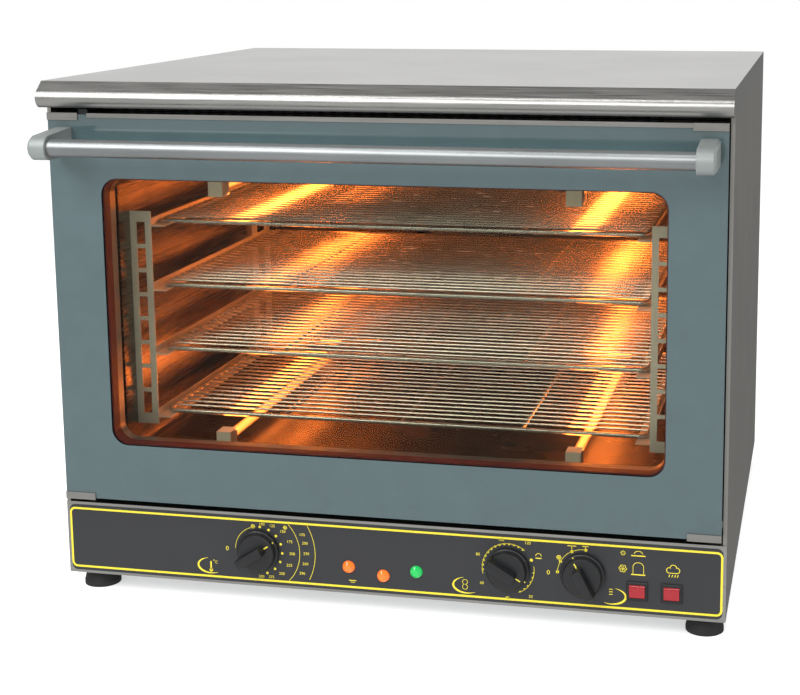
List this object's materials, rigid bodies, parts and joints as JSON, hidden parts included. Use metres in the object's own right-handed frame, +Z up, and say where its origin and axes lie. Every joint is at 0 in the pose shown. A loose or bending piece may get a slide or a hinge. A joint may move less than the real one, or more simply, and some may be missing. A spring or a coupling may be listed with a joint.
{
  "type": "countertop convection oven",
  "caption": "Stainless countertop convection oven with wire shelves, a drop-down double-glazed door and a front control panel.",
  "frame": {"origin": "on the worktop, under the middle of the bounding box, which includes the handle and the cable gland", "axes": "+X to the user's right, +Y from the door to the back, +Z up"},
  "size_m": [0.795, 0.784, 0.624],
  "materials": {
    "brushed_stainless": "brushed",
    "polished_liner": "polished",
    "galvanised": "satin",
    "black_enamel": "satin",
    "printed_glass": "gloss",
    "clear_glass": "gloss",
    "chromed_wire": "polished",
    "anodised": "satin",
    "grey_casting": "satin",
    "silicone_red": "matt",
    "gasket_black": "matt",
    "foot_rubber": "matt",
    "overlay_film": "matt",
    "knob_black": "satin",
    "body_black": "satin",
    "amber_lens": "gloss",
    "green_lens": "gloss",
    "rocker_red": "gloss",
    "quartz": "gloss",
    "steatite": "matt",
    "mineral_wool": "matt",
    "heater_alloy": "oxidised",
    "motor_steel": "satin",
    "zinc_steel": "satin",
    "block_plastic": "matt"
  },
  "bodies": {
    "oven": {"base_pan": "galvanised", "side_panel_left": "brushed_stainless", "side_panel_right": "brushed_stainless", "top_cover": "brushed_stainless", "rear_panel": "galvanised", "front_frame": "black_enamel", "cavity_liner": "polished_liner", "insulation_blanket": "mineral_wool", "support_channels": "galvanised", "door_gasket": "gasket_black", "fan_baffle": "polished_liner", "ring_heater": "heater_alloy", "motor_bracket": "zinc_steel", "fan_motor": "motor_steel", "quartz_tubes_upper": "quartz", "quartz_tubes_lower": "quartz", "tube_holders": "steatite", "shelf_rack_left": "chromed_wire", "shelf_rack_right": "chromed_wire", "control_panel": "brushed_stainless", "control_overlay": "overlay_film", "thermostat_body": "body_black", "timer_body": "body_black", "selector_body": "body_black", "amber_lamp_lens": "amber_lens", "green_lamp_lens": "green_lens", "lamp_bodies": "body_black", "switch_housing_left": "body_black", "switch_housing_right": "body_black", "terminal_block": "block_plastic", "cable_gland": "body_black", "feet": "foot_rubber", "hinge_brackets": "zinc_steel", "door_switch": "body_black"},
    "door": {"outer_glass": "printed_glass", "door_pan": "black_enamel", "glass_seal": "silicone_red", "inner_glass": "clear_glass", "inner_retainer": "polished_liner", "hinge_pivots": "zinc_steel", "corner_clips": "anodised", "top_edge_trim": "anodised", "door_switch_striker": "body_black", "handle_bar": "anodised", "handle_elbow_left": "grey_casting", "handle_elbow_right": "grey_casting"},
    "fan": {"fan_impeller": "polished_liner", "fan_shaft": "zinc_steel"},
    "thermostat_dial": {"thermostat_knob": "knob_black", "thermostat_spindle": "zinc_steel"},
    "timer_dial": {"timer_knob": "knob_black", "timer_spindle": "zinc_steel"},
    "selector_dial": {"selector_knob": "knob_black", "selector_spindle": "zinc_steel"},
    "left_rocker": {"rocker_left": "rocker_red"},
    "right_rocker": {"rocker_right": "rocker_red"},
    "shelf_1": {"wire_shelf_1": "chromed_wire"},
    "shelf_2": {"wire_shelf_2": "chromed_wire"},
    "shelf_3": {"wire_shelf_3": "chromed_wire"},
    "shelf_4": {"wire_shelf_4": "chromed_wire"}
  },
  "joints": [
    {"name": "door_hinge", "type": "hinge", "parent": "oven", "child": "door", "pos_m": [0, -0.309, 0.138], "axis": [1, 0, 0], "range_deg": [0, 90]},
    {"name": "fan_spin", "type": "hinge", "parent": "oven", "child": "fan", "pos_m": [0, 0.2, 0.339], "axis": [0, 1, 0], "continuous": true},
    {"name": "thermostat_turn", "type": "hinge", "parent": "oven", "child": "thermostat_dial", "pos_m": [-0.153, -0.313, 0.069], "axis": [0, 1, 0], "range_deg": [-147, 118]},
    {"name": "timer_turn", "type": "hinge", "parent": "oven", "child": "timer_dial", "pos_m": [0.149, -0.313, 0.069], "axis": [0, 1, 0], "range_deg": [-60, 270]},
    {"name": "selector_turn", "type": "hinge", "parent": "oven", "child": "selector_dial", "pos_m": [0.236, -0.313, 0.069], "axis": [0, 1, 0], "range_deg": [-63, 27]},
    {"name": "left_rocker_press", "type": "hinge", "parent": "oven", "child": "left_rocker", "pos_m": [0.298, -0.311, 0.054], "axis": [-1, 0, 0], "range_deg": [0, 14]},
    {"name": "right_rocker_press", "type": "hinge", "parent": "oven", "child": "right_rocker", "pos_m": [0.337, -0.311, 0.054], "axis": [-1, 0, 0], "range_deg": [0, 14]},
    {"name": "shelf_1_slide", "type": "slide", "parent": "oven", "child": "shelf_1", "axis": [0, -1, 0], "range_m": [-0.012, 0.045]},
    {"name": "shelf_2_slide", "type": "slide", "parent": "oven", "child": "shelf_2", "axis": [0, -1, 0], "range_m": [-0.012, 0.045]},
    {"name": "shelf_3_slide", "type": "slide", "parent": "oven", "child": "shelf_3", "axis": [0, -1, 0], "range_m": [-0.012, 0.045]},
    {"name": "shelf_4_slide", "type": "slide", "parent": "oven", "child": "shelf_4", "axis": [0, -1, 0], "range_m": [-0.012, 0.045]}
  ]
}
